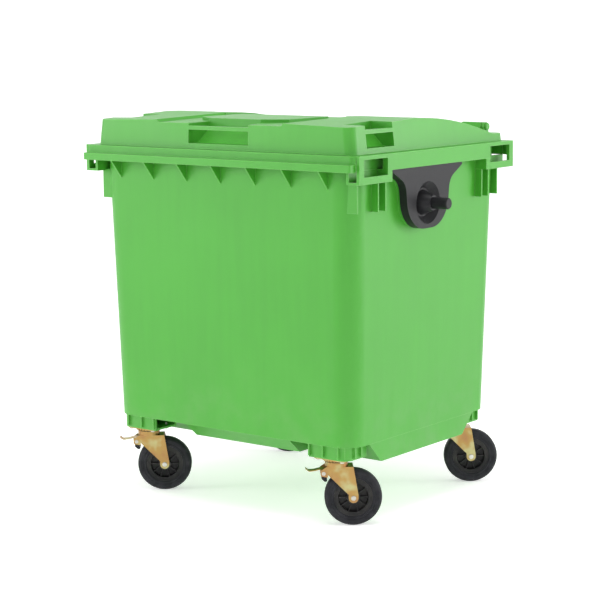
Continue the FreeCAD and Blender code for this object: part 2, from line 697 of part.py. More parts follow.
def pad_ribs(x_side, y_side):
    """Footprints of the ribs that stand out of one castor pad."""
    ribs = []
    half = D.rib_wall / 2
    bite = D.pad_wall / 2
    straight_x = D.pad_outer_x - D.pad_round
    straight_y = D.pad_outer_y - D.pad_round
    for place in (D.pad_inner_x + D.rib_wall, (D.pad_inner_x + straight_x) / 2, straight_x):
        sides = (y_side * (D.pad_outer_y - bite), y_side * (D.pad_outer_y + D.rib_out))
        y_low, y_high = sorted(sides, key=number)
        ribs.append(box(x_side * place - half, x_side * place + half, y_low, y_high))
    for place in (straight_y - D.rib_wall, (D.pad_inner_y + straight_y) / 2):
        ends = (x_side * (D.pad_outer_x - bite), x_side * (D.pad_outer_x + D.rib_out))
        x_low, x_high = sorted(ends, key=number)
        ribs.append(box(x_low, x_high, y_side * place - half, y_side * place + half))
    return ribs


def hollow_pads(tub):
    """Open each castor pad from its inner end."""
    low, high = D.castor_high + D.pad_wall, D.foot_z - D.tub_wall / 2
    for x_side in (-1, 1):
        ends = (x_side * D.pad_inner_x, x_side * (D.pad_outer_x - 2 * D.pad_wall))
        x_low, x_high = sorted(ends, key=number)
        sections = []
        for y_side in (-1, 1):
            sides = (y_side * (D.pad_inner_y + D.pad_wall), y_side * (D.pad_outer_y - D.pad_wall))
            y_low, y_high = sorted(sides, key=number)
            sections.append(box(y_low, y_high, low, high))
        pocket_x(tub, sections, x_low, x_high)


def hollow_tub(tub):
    """The inside of the tub, its trough and its belly."""
    wall = D.tub_wall
    floor = D.foot_z + wall
    low = plan(D.tub_foot_x - wall, D.tub_foot_y - wall, D.tub_round - wall)
    high = plan(TUB_RIM_X - wall, TUB_RIM_Y - wall, D.tub_round - wall)
    loft_z(tub, "SubtractiveLoft", low, floor, high, D.rim_z)
    trough = [
        (-D.trough_floor_y + wall, D.trough_floor_z + wall),
        (D.trough_floor_y - wall, D.trough_floor_z + wall),
        (D.trough_mouth_y - wall, D.foot_z + wall),
        (D.trough_mouth_y - wall, floor + wall),
        (-D.trough_mouth_y + wall, floor + wall),
        (-D.trough_mouth_y + wall, D.foot_z + wall),
    ]
    pocket_x(tub, [trough], -D.trough_x + wall, D.trough_x - wall)
    belly = [
        (-D.belly_floor_y + wall / 2, D.belly_floor_z + wall),
        (D.belly_floor_y - wall / 2, D.belly_floor_z + wall),
        (D.belly_mouth_y - wall, D.foot_z + wall / 2),
        (D.belly_mouth_y - wall, floor + wall),
        (-D.belly_mouth_y + wall, floor + wall),
        (-D.belly_mouth_y + wall, D.foot_z + wall / 2),
    ]
    belly_x = D.tub_foot_x - D.belly_inset - wall
    pocket_x(tub, [belly], -belly_x, belly_x)


def add_ears(tub):
    """Two ears beside each knuckle of the lid, with the bore for the hinge pin."""
    back, top = D.hinge_y + D.knuckle_round, D.hinge_z + D.knuckle_round
    front = D.hinge_y - D.knuckle_round
    eye = D.knuckle_round - ARC_SPARE
    root_y = D.rim_rear - D.rim_wall
    ear = [
        (root_y, D.rim_z - D.ear_drop),
        (D.rim_rear, D.rim_z - D.ear_drop),
        (back, D.rim_z + D.ear_shoulder),
        (back, top, eye),
        (front, top, eye),
        (front, D.rim_z - D.rim_wall / 2),
        (root_y, D.rim_z - D.rim_wall / 2),
    ]
    near, far = D.knuckle_half + D.ear_gap, D.knuckle_half + D.ear_gap + D.ear_wall
    reach = D.hinge_pitch + far
    pad_x(tub, [ear], -reach, reach)
    gaps = [(place - near, place + near) for place in hinge_places()]
    gaps += [(-D.hinge_pitch + far, -far), (far, D.hinge_pitch - far)]
    beyond = back + D.ear_wall
    clearings = [box(low, high, D.rim_rear, beyond) for low, high in gaps]
    pocket_z(tub, clearings, D.rim_z - D.rim_depth, top + D.ear_wall)
    bore = (D.hinge_y, D.hinge_z, D.hinge_pin_round + D.fit_gap)
    pocket_x(tub, [bore], -reach, reach)


def frame_holes(tub):
    """The pockets in the four frames, and the hollows behind them that open to the front and the rear."""
    low, high = FRAME_LOW_Z + D.frame_sill, D.rim_z - D.frame_head
    ends = ((-D.frame_front, -D.band_y), (D.band_y, D.frame_rear))
    holes = [box(near + D.frame_post, far - D.frame_post, low, high) for near, far in ends]
    pocket_x(tub, holes, D.band_x - D.pocket_reach, D.band_x)
    pocket_x(tub, holes, -D.band_x, -D.band_x + D.pocket_reach)
    near, far = D.band_x - D.pocket_reach, D.band_x - D.frame_wall
    inner_low, inner_high = FRAME_LOW_Z + D.frame_floor, D.rim_z - D.frame_head
    hollows = [box(near, far, inner_low, inner_high), box(-far, -near, inner_low, inner_high)]
    pocket_y(tub, hollows, -D.frame_front, -D.band_y - D.frame_post)
    pocket_y(tub, hollows, D.band_y + D.frame_post, D.frame_rear)


def screw_places():
    """Castor screws, as places in plan."""
    places = []
    for x_side in (-1, 1):
        for y_side in (-1, 1):
            for x_hole in (-1, 1):
                for y_hole in (-1, 1):
                    x = x_side * D.castor_x + x_hole * D.top_hole_x
                    y = y_side * D.castor_y + y_hole * D.top_hole_y
                    places.append((x, y))
    return places


def trunnion_bolt_places():
    """Bolts of a trunnion plate, measured from the pin's axis."""
    high, low = D.plate_rise - D.plate_bolt_down, -D.plate_fall / 3
    wide, narrow = D.plate_waist_half - D.plate_bolt_in, D.plate_foot_half - D.plate_bolt_foot_in
    return [(-wide, high), (wide, high), (-narrow, low), (narrow, low)]


def make_tub():
    tub = new_body("container_body")
    low = plan(D.tub_foot_x, D.tub_foot_y, D.tub_round)
    high = plan(TUB_RIM_X, TUB_RIM_Y, D.tub_round)
    loft_z(tub, "AdditiveLoft", low, D.foot_z, high, D.rim_z)
    add_rim(tub)
    hollow_rim(tub)
    add_gussets(tub)
    add_fins(tub)
    add_bosses(tub)
    add_underside(tub)
    add_ears(tub)
    hollow_tub(tub)
    hollow_pads(tub)
    frame_holes(tub)
    drain = (ZERO, D.drain_y, D.drain_round)
    pocket_z(tub, [drain], D.belly_floor_z - 1, D.belly_floor_z + 2 * D.tub_wall)
    holes = [(x, y, D.screw_round + D.loose_gap) for x, y in screw_places()]
    pocket_z(tub, holes, D.castor_high, D.castor_high + D.pad_wall)
    hole_round = D.plate_bolt_round + D.loose_gap
    holes = [(D.pin_y + x, D.pin_z + z, hole_round) for x, z in trunnion_bolt_places()]
    inside_x = D.tub_foot_x - 2 * D.tub_wall
    pocket_x(tub, holes, inside_x, D.boss_x)
    pocket_x(tub, holes, -D.boss_x, -inside_x)
    return keep(tub, "container_body")


# ---------------------------------------------------------------- trunnions


def trunnion_outline(inset):
    """Outline of a trunnion plate about the pin's axis, flared at the top and round at the foot."""
    foot_half, waist_half = D.plate_foot_half - inset, D.plate_waist_half - inset
    top_half, top = D.plate_top_half - inset, D.plate_rise - inset
    foot, waist = -D.plate_fall + inset, D.plate_waist_rise
    edge = top - D.plate_edge
    return [
        (-foot_half, foot, D.plate_foot_round),
        (foot_half, foot, D.plate_foot_round),
        (waist_half, waist, D.plate_waist_round),
        (top_half, edge),
        (top_half, top),
        (-top_half, top),
        (-top_half, edge),
        (-waist_half, waist, D.plate_waist_round),
    ]


def side_placement(side, x):
    """Local Z points out of the container's side, local Y points up."""
    turn = Rotation(Vector(0, side, 0), Vector(0, 0, 1), Vector(side, 0, 0), "ZXY")
    return Placement(Vector(side * number(x), number(D.pin_y), number(D.pin_z)), turn)


def make_trunnion(side, word):
    """One dark side plate with its dish and hub, and the pin that stands out of it."""
    plate = new_body(f"trunnion_plate_{word}")
    face = D.plate_thick
    pad_z(plate, [trunnion_outline(ZERO)], ZERO, face)
    floor = face - D.dish_depth
    dish = [
        (0, floor),
        (D.hub_base + D.dish_bank, floor),
        (D.dish_round - D.dish_bank, face - D.dish_bank),
        (D.dish_round, face + 1),
        (0, face + 1),
    ]
    turn_z(plate, dish, "Groove")
    hub_end = D.hub_end_x - D.boss_x
    hub = [
        (0, floor - D.dish_bank / 2),
        (D.hub_base, floor - D.dish_bank / 2),
        (D.hub_base, floor),
        (D.pin_round + D.hub_lip, hub_end),
        (0, hub_end),
    ]
    turn_z(plate, hub)
    pocket_z(plate, [(0, 0, D.pin_root_round + D.fit_gap)], ZERO, hub_end)
    hole_round = D.plate_bolt_round + D.loose_gap
    holes = [(x, y, hole_round) for x, y in trunnion_bolt_places()]
    pocket_z(plate, holes, ZERO, face - D.plate_bolt_cover + D.loose_gap)
    plate.Placement = side_placement(side, D.boss_x)
    keep(plate, f"trunnion_plate_{word}")

    pin = new_body(f"trunnion_pin_{word}")
    length = D.pin_end_x - D.boss_x
    shoulder = hub_end + D.pin_relief
    profile = [
        (0, 0),
        (D.pin_root_round, 0),
        (D.pin_root_round, shoulder),
        (D.pin_round, shoulder),
        (D.pin_round, length - D.pin_chamfer),
        (D.pin_round - D.pin_chamfer, length),
        (0, length),
    ]
    turn_z(pin, profile)
    pin.Placement = side_placement(side, D.boss_x)
    keep(pin, f"trunnion_pin_{word}")


def hex_bolt(radius, length, head_across, head_thick, placement, name="bolt"):
    """A hexagon bolt with its shank along local +Z and its head under the origin."""
    shank = DOCUMENT.addObject("Part::Cylinder", f"{name}_shank")
    bind(shank, "Radius", radius)
    bind(shank, "Height", length + head_thick / 2)
    shank.Placement = Placement(Vector(0, 0, -number(head_thick) / 2), Rotation())
    head = DOCUMENT.addObject("Part::Prism", f"{name}_head")
    head.Polygon = 6
    bind(head, "Circumradius", head_across / math.sqrt(3))
    bind(head, "Height", head_thick)
    head.Placement = Placement(Vector(0, 0, -number(head_thick)), Rotation())
    bolt = DOCUMENT.addObject("Part::MultiFuse", name)
    bolt.Shapes = [shank, head]
    bolt.Placement = placement
    return bolt


def group(name, members):
    """Identical fasteners as one sub-part of separate solids."""
    made = DOCUMENT.addObject("Part::Compound", name)
    made.Links = members
    return keep(made, name)


def inner_wall_x(z):
    """Half length of the tub's inside at a height."""
    lean = number(D.tub_draft_out) * (number(D.rim_z) - z) / number(D.rim_z - D.foot_z)
    return number(TUB_RIM_X - D.tub_wall) - lean


def make_trunnion_bolts():
    """Bolts from inside the tub through its wall and boss into the trunnion plates."""
    tip_x = number(D.boss_x + D.plate_thick - D.plate_bolt_cover)
    bolts = []
    for side in (-1, 1):
        for along, up in trunnion_bolt_places():
            height = number(D.pin_z + up)
            seat_x = inner_wall_x(height) - number(D.loose_gap)
            turn = Rotation(Vector(0, 0, 1), Vector(side, 0, 0))
            place = Placement(Vector(side * seat_x, number(D.pin_y + along), height), turn)
            length = tip_x - seat_x
            bolt = hex_bolt(D.plate_bolt_round, length, D.plate_bolt_across, D.plate_bolt_head, place)
            bolts.append(bolt)
    group("trunnion_bolts", bolts)


# ---------------------------------------------------------------- lid


LID_SPARE = Size(20, "20")
DOME_RUN = D.tail_y - LID_SPARE - D.crest_y


def lid_form(name, inset):
    """The lid's outer form, or with an inset the hollow inside it."""
    body = new_body(name)
    radius = D.lid_round - inset
    low_z = D.rim_z + D.loose_gap
    high_z = D.crest_z + 4
    low = box(-D.lid_foot_x + inset, D.lid_foot_x - inset, -D.lid_front + inset, D.lid_rear - inset, radius)
    far = D.lid_foot_x - D.lid_draft_in - inset
    front = D.lid_front - D.lid_draft_in / 3 - inset
    rear = D.lid_rear - D.lid_draft_in / 3 - inset
    loft_z(body, "AdditiveLoft", low, low_z, box(-far, far, -front, rear, radius), high_z)
    cut_front(body, inset)
    cut_dome(body, inset)
    panel = [
        (-D.grip_rear_half + inset, -D.lid_front + D.grip_reach + inset),
        (D.grip_rear_half - inset, -D.lid_front + D.grip_reach + inset),
        (D.panel_half - inset, D.panel_y + inset),
        (D.panel_half - inset, D.crest_y - inset),
        (-D.panel_half + inset, D.crest_y - inset),
        (-D.panel_half + inset, D.panel_y + inset),
    ]
    pad_z(body, [panel], D.grip_bar_z, D.panel_z - inset)
    return body


def across_lid(edge_z, strip_z, middle_z, half, over):
    """Outline across the lid of the space over its top, with the lowered middle."""
    edge = D.lid_foot_x + LID_SPARE
    return [
        (-edge, edge_z),
        (-half, strip_z),
        (-half + D.strip_slope, middle_z),
        (half - D.strip_slope, middle_z),
        (half, strip_z),
        (edge, edge_z),
        (edge, over),
        (-edge, over),
    ]


def cut_front(body, inset):
    """Trim the form to the top that rises from the front edge to the crest."""
    over = D.crest_z + LID_SPARE
    half = D.strip_x + inset
    low = D.strip_z - inset
    high = D.crest_z - inset
    near = across_lid(D.deck_front_z - inset, low, low - D.middle_drop, half, over)
    far = across_lid(high, high, high - D.middle_drop, half, over)
    loft_y(body, "SubtractiveLoft", near, -D.lid_front - LID_SPARE, far, D.crest_y)


def dome_z(y):
    """Height of the dome at a place behind the crest."""
    share = (y - D.crest_y) / DOME_RUN
    return D.crest_z - D.dome_drop * share * share


def cut_dome(body, inset):
    """Trim the form to the lid's curve from the crest to the tail, lower in the middle near the crest."""
    over = D.crest_z + LID_SPARE
    reach = D.lid_foot_x + LID_SPARE
    steps = 6
    run = DOME_RUN / steps
    middle = D.strip_x + inset - D.strip_slope
    for drop, half in ((ZERO, reach), (D.middle_drop, middle)):
        outline = [(D.crest_y, over), (D.crest_y, D.crest_z - inset - drop)]
        for index in range(1, steps):
            place = D.crest_y + run * index
            fade = drop * (1 - index / steps)
            outline.append((place, dome_z(place) - inset - fade, D.dome_blend))
        last = D.crest_y + run * steps
        if number(drop) > 0:
            outline += [(last, dome_z(last) - inset), (last, over)]
        else:
            outline += [
                (last, dome_z(last) - inset, D.tail_bend),
                (D.tail_y + D.strip_slope, D.tail_z - inset, D.tail_bend / 2),
                (D.lid_rear + LID_SPARE, D.tail_z - inset),
                (D.lid_rear + LID_SPARE, over),
            ]
        outline.reverse()
        pocket_x(body, [outline], -half, half)


def front_well(inner):
    """The block of the front grip's well, or the opening in it that leaves the grip bar."""
    body = new_body("front_well_inner" if inner else "front_well_outer")
    skin = ZERO if inner else D.well_wall
    front = -D.lid_front - (LID_SPARE if inner else ZERO)
    rear = -D.lid_front + D.grip_reach + skin
    over = D.crest_z + LID_SPARE
    profile = [
        (front, D.grip_low_z - skin),
        (-D.lid_front + D.grip_reach / 2, D.grip_low_z - skin, D.well_bend),
        (rear, D.grip_bar_z - skin),
        (rear, over),
        (front, over),
    ]
    outlines = [profile]
    if inner:
        notch_rear = -D.lid_front + D.grip_bar_wide
        notch = box(front + D.well_wall, notch_rear, D.grip_bar_z, D.grip_bar_top, D.grip_bar_round)
        outlines.append(notch)
    half = D.grip_half + skin
    pad_x(body, outlines, -half, half)
    for side in (-1, 1):
        far = side * (half + LID_SPARE)
        wedge = [
            (side * half, -D.lid_front + D.grip_bar_wide),
            (far, -D.lid_front + D.grip_bar_wide),
            (far, rear + LID_SPARE),
            (side * (D.grip_rear_half + skin), rear + LID_SPARE),
        ]
        if side < 0:
            wedge.reverse()
        pocket_z(body, [wedge], D.grip_low_z - LID_SPARE, over + LID_SPARE)
    return body


def side_well(side, inner):
    """The block of a side grip's well, or the opening in it that leaves the grip bar."""
    body = new_body("side_well_inner" if inner else "side_well_outer")
    skin = ZERO if inner else D.well_wall
    face = D.lid_foot_x + (LID_SPARE if inner else ZERO)
    deep = D.lid_foot_x - D.side_grip_reach - skin
    over = D.crest_z + LID_SPARE
    profile = [
        (face, D.grip_low_z - skin),
        (face, over),
        (deep, over),
        (deep, D.grip_bar_z - skin),
        (D.lid_foot_x - D.side_grip_reach / 2, D.grip_low_z - skin, D.well_bend),
    ]
    outlines = [profile]
    if inner:
        bar_back = D.lid_foot_x - D.grip_bar_wide - D.lid_draft_in
        outlines.append(box(bar_back, face - D.well_wall, D.grip_bar_z, D.grip_bar_top, D.grip_bar_round))
    flipped = []
    for outline in outlines:
        points = [(side * x, *rest) for x, *rest in outline]
        if side < 0:
            points.reverse()
        flipped.append(points)
    pad_y(body, flipped, D.side_grip_front - skin, D.side_grip_rear + skin)
    return body


def cut(base, tool, name):
    made = DOCUMENT.addObject("Part::Cut", name)
    made.Base = base
    made.Tool = tool
    return made


def fuse(name, members):
    made = DOCUMENT.addObject("Part::MultiFuse", name)
    made.Shapes = members
    return made


def common(name, members):
    made = DOCUMENT.addObject("Part::MultiCommon", name)
    made.Shapes = members
    return made


def lid_knuckles():
    """The knuckles of the lid, each with its arm to the lid's rear face."""
    knuckles = []
    back, top = D.hinge_y + D.knuckle_round, D.hinge_z + D.knuckle_round
    low = D.hinge_z - D.knuckle_round
    eye = D.knuckle_round - ARC_SPARE
    rear = D.lid_rear - D.lid_draft_in / 3
    arm = [
        (rear - D.lid_wall, D.rim_z + D.arm_gap),
        (D.lid_rear + D.arm_gap, D.rim_z + D.arm_gap),
        (back, low, eye),
        (back, top, eye),
        (D.hinge_y - D.knuckle_round + 4, top, 6),
        (rear - D.lid_wall, D.tail_z),
    ]
    for place in hinge_places():
        knuckle = new_body("lid_knuckle")
        pad_x(knuckle, [arm], place - D.knuckle_half, place + D.knuckle_half)
        bore = (D.hinge_y, D.hinge_z, D.hinge_pin_round + D.fit_gap)
        pocket_x(knuckle, [bore], place - D.knuckle_half, place + D.knuckle_half)
        knuckles.append(knuckle)
    return knuckles


def make_lid():
    outer = lid_form("lid_outer", ZERO)
    hollow = lid_form("lid_hollow", D.lid_wall)
    shell = cut(outer, hollow, "lid_skin")
    wells = [front_well(False), side_well(-1, False), side_well(1, False)]
    lined = common("lid_wells", [fuse("well_blocks", wells), lid_form("lid_bound", ZERO)])
    solid = fuse("lid_lined", [shell, lined] + lid_knuckles())
    openings = fuse("well_openings", [front_well(True), side_well(-1, True), side_well(1, True)])
    keep(cut(solid, openings, "lid_shell"), "lid_shell")


def make_hinge_pins():
    pins = []
    for place in hinge_places():
        pin = new_body("hinge_pin")
        half = D.knuckle_half + D.ear_gap + D.ear_wall
        profile = [
            (0, -half),
            (D.hinge_pin_round, -half),
            (D.hinge_pin_round, half),
            (D.cap_round, half),
            (D.cap_round, half + D.cap_thick, D.cap_edge),
            (0, half + D.cap_thick),
        ]
        turn_z(pin, profile)
        outward = -1 if number(place) < 0 else 1
        turn = Rotation(Vector(0, 0, 1), Vector(outward, 0, 0))
        pin.Placement = Placement(Vector(number(place), number(D.hinge_y), number(D.hinge_z)), turn)
        pins.append(pin)
    group("hinge_pins", pins)


# ---------------------------------------------------------------- drain


def make_drain():
    """The drain plug with its grip and its seal, under the trough's floor."""
    face = D.belly_floor_z - D.seal_thick
    low = face - D.plug_thick
    plug = new_body("drain_plug")
    profile = [
        (0, low),
        (D.plug_flange, low, 2),
        (D.plug_flange, face),
        (D.drain_round - D.loose_gap, face),
        (D.drain_round - D.loose_gap, face + D.tub_wall + D.seal_thick + 5),
        (D.drain_round - D.plug_thick, face + D.tub_wall + D.seal_thick + 5),
        (D.drain_round - D.plug_thick, face),
        (0, face),
    ]
    turn_z(plug, profile)
    grip = D.plug_flange - 2 * D.plug_thick
    pad_z(plug, [box(-grip, grip, -D.seal_thick * 2, D.seal_thick * 2, 3)], low - 8, low + 1)
    plug.Placement = Placement(Vector(0, number(D.drain_y), 0), Rotation())
    keep(plug, "drain_plug")
    seal = new_body("drain_seal")
    ring = box(D.drain_round, D.plug_flange - 2, face, D.belly_floor_z)
    turn_z(seal, ring)
    seal.Placement = Placement(Vector(0, number(D.drain_y), 0), Rotation())
    keep(seal, "drain_seal")


# ---------------------------------------------------------------- castors


def heading():
    return Rotation(Vector(0, 0, 1), number(D.castor_turn))


def castor_placement(x_side, y_side):
    """On a castor's swivel axis, in line with the tub."""
    spot = Vector(x_side * number(D.castor_x), y_side * number(D.castor_y), 0)
    return Placement(spot, Rotation())


def swivel_placement(x_side, y_side):
    """On a castor's swivel axis, turned the way it trails."""
    return castor_placement(x_side, y_side).multiply(Placement(Vector(), heading()))


def axle_placement(x_side, y_side):
    """Local Z lies along the wheel's axle."""
    centre = Vector(number(D.trail), 0, number(D.wheel_round))
    sideways = Rotation(Vector(0, 0, 1), Vector(0, -1, 0))
    return swivel_placement(x_side, y_side).multiply(Placement(centre, sideways))


def make_top_plate(word, x_side, y_side):
    plate = new_body(f"castor_plate_{word}")
    low = D.castor_high - D.top_plate_thick
    pad_z(plate, [plan(D.top_plate_x, D.top_plate_y, 12)], low, D.castor_high)
    dome = [
        (0, low + 1),
        (0, low - 7),
        (D.cup_round - 16, low - 7),
        (D.cup_round - 5, low + 1),
    ]
    turn_z(plate, dome)
    holes = [
        (x * D.top_hole_x, y * D.top_hole_y, D.screw_round + D.loose_gap) for x in (-1, 1) for y in (-1, 1)
    ]
    pocket_z(plate, holes, low, D.castor_high)
    pocket_z(plate, [(0, 0, D.kingpin_round + D.fit_gap)], low - 10, D.castor_high)
    head_recess = (0, 0, D.kingpin_round + D.kingpin_head_out + 1)
    pocket_z(plate, [head_recess], D.castor_high - 5, D.castor_high)
    plate.Placement = castor_placement(x_side, y_side)
    keep(plate, f"castor_plate_{word}")


def make_kingpin(word, x_side, y_side):
    pin = new_body(f"kingpin_{word}")
    under = D.crown_z - D.fork_wall
    top = D.castor_high - 1
    profile = [
        (0, under - D.rivet_high),
        (D.kingpin_round + D.rivet_out, under - D.rivet_high, 1),
        (D.kingpin_round + D.rivet_out, under - D.loose_gap),
        (D.kingpin_round, under - D.loose_gap),
        (D.kingpin_round, top - D.kingpin_head_thick),
        (D.kingpin_round + D.kingpin_head_out, top - D.kingpin_head_thick),
        (D.kingpin_round + D.kingpin_head_out, top),
        (0, top),
    ]
    turn_z(pin, profile)
    pin.Placement = swivel_placement(x_side, y_side)
    keep(pin, f"kingpin_{word}")


def make_swivel_bearing(word, x_side, y_side):
    """The ball race between the fork's crown and the top plate."""
    race = new_body(f"swivel_bearing_{word}")
    profile = [
        (D.kingpin_round + 3, D.crown_z + D.loose_gap / 2),
        (D.cup_round - D.cup_wall - D.loose_gap, D.crown_z + D.loose_gap / 2),
        (D.cup_round - D.cup_wall - D.loose_gap, D.crown_z + 8),
        (D.cup_round - 14, D.crown_z + D.race_high),
        (D.kingpin_round + 3, D.crown_z + D.race_high),
    ]
    turn_z(race, profile)
    race.Placement = swivel_placement(x_side, y_side)
    keep(race, f"swivel_bearing_{word}")


def make_fork(word, x_side, y_side, braked):
    fork = new_body(f"fork_{word}")
    top, under = D.crown_z, D.crown_z - D.fork_wall
    half_gap, half_all = D.fork_gap_half, D.fork_gap_half + D.fork_wall
    crown = box(-D.fork_lead, D.fork_back, -half_all, half_all)
    pad_z(fork, [crown], under, top)
    end = D.fork_end_round
    foot = D.wheel_round - end
    arm = [
        (D.trail - end, foot, end - ARC_SPARE),
        (D.trail + end, foot, end - ARC_SPARE),
        (D.trail + end, D.wheel_round + 10),
        (D.fork_back, top),
        (-D.fork_lead, top),
        (-D.fork_lead, top - 22),
        (D.trail - end, D.wheel_round + 12),
    ]
    pad_y(fork, [arm], half_gap, half_all)
    pad_y(fork, [arm], -half_all, -half_gap)
    if braked:
        nose = D.brake_pivot_x - 11
        lug = [
            (nose, D.brake_pivot_z - 10, 8),
            (-D.fork_lead + 6, D.brake_pivot_z - 14),
            (-D.fork_lead + 6, top),
            (-D.fork_lead, top),
            (nose, D.brake_pivot_z + 10, 8),
        ]
        pad_y(fork, [lug], half_gap, half_all)
        pad_y(fork, [lug], -half_all, -half_gap)
        eye = (D.brake_pivot_x, D.brake_pivot_z, D.brake_pin_round + D.fit_gap)
        pocket_y(fork, [eye], -half_all, half_all)
    cup = [
        (D.cup_round - D.cup_wall, top - 1),
        (D.cup_round, top - 1),
        (D.cup_round, top + D.cup_high),
        (D.cup_round - D.cup_wall, top + D.cup_high),
    ]
    turn_z(fork, cup)
    pocket_y(fork, [(D.trail, D.wheel_round, D.axle_round + D.fit_gap)], -half_all, half_all)
    pocket_z(fork, [(0, 0, D.kingpin_round + D.loose_gap)], under, top)
    fork.Placement = swivel_placement(x_side, y_side)
    keep(fork, f"fork_{word}")


def make_axle(word, x_side, y_side):
    """The axle, with its head on the outer side of the fork and its nut on the other side."""
    half_all = D.fork_gap_half + D.fork_wall
    place = axle_placement(x_side, y_side)
    low = -half_all - D.axle_nut_thick - D.axle_head_thick
    axle = new_body(f"axle_{word}")
    profile = [
        (0, low),
        (D.axle_round, low),
        (D.axle_round, half_all),
        (D.axle_head_round, half_all),
        (D.axle_head_round, half_all + D.axle_head_thick, 2),
        (0, half_all + D.axle_head_thick),
    ]
    turn_z(axle, profile)
    axle.Placement = place
    keep(axle, f"axle_{word}")
    nut = new_body(f"axle_nut_{word}")
    across = D.axle_nut_across / math.sqrt(3)
    turns = [math.radians(60 * corner) for corner in range(6)]
    corners = [(across * math.cos(turn), across * math.sin(turn)) for turn in turns]
    pad_z(nut, [corners], -half_all - D.axle_nut_thick, -half_all)
    pocket_z(nut, [(0, 0, D.axle_round + D.fit_gap)], -half_all - D.axle_nut_thick, -half_all)
    nut.Placement = place
    keep(nut, f"axle_nut_{word}")


def make_wheel(word, x_side, y_side):
    place = axle_placement(x_side, y_side)
    centre = new_body(f"wheel_centre_{word}")
    profile = [
        (D.bush_round, -D.hub_half),
        (D.hub_round, -D.hub_half),
        (D.hub_round + 2, -D.web_half - 2),
        (D.ring_inner - 3, -D.web_half),
        (D.ring_inner, -D.rim_half),
        (D.rim_seat, -D.rim_half),
        (D.rim_seat, D.rim_half),
        (D.ring_inner, D.rim_half),
        (D.ring_inner - 3, D.web_half),
        (D.hub_round + 2, D.web_half + 2),
        (D.hub_round, D.hub_half),
        (D.bush_round, D.hub_half),
    ]
    turn_z(centre, profile)
    half = D.spoke_wide / 2
    reach = D.rim_half - D.spoke_inset
    spoke = pad_z(centre, [box(D.hub_round - half, D.ring_inner + half, -half, half)], -reach, reach)
    repeat_round(centre, spoke, D.spoke_count)
    centre.Placement = place
    keep(centre, f"wheel_centre_{word}")

    tyre = new_body(f"tyre_{word}")
    shoulder = D.tyre_half - 9
    side = [
        (D.rim_seat, D.rim_half),
        (D.rim_seat + 4, D.tyre_half - 1),
        (D.rim_seat + 9, D.tyre_half - 1),
        (D.rim_seat + 11, D.tyre_half - 3),
        (D.rim_seat + 13, D.tyre_half - 1),
        (D.wheel_round - 9, D.tyre_half, 5),
        (D.wheel_round, shoulder, D.tread_round),
    ]
    profile = [(radius, -along, *rest) for radius, along, *rest in side] + side[::-1]
    turn_z(tyre, profile)
    tyre.Placement = place
    keep(tyre, f"tyre_{word}")

    bush = new_body(f"wheel_bush_{word}")
    half = D.hub_half + 1
    ring = [
        (D.axle_round + D.fit_gap, -half),
        (D.bush_round, -half),
        (D.bush_round, half),
        (D.axle_round + D.fit_gap, half),
    ]
    turn_z(bush, ring)
    bush.Placement = place
    keep(bush, f"wheel_bush_{word}")


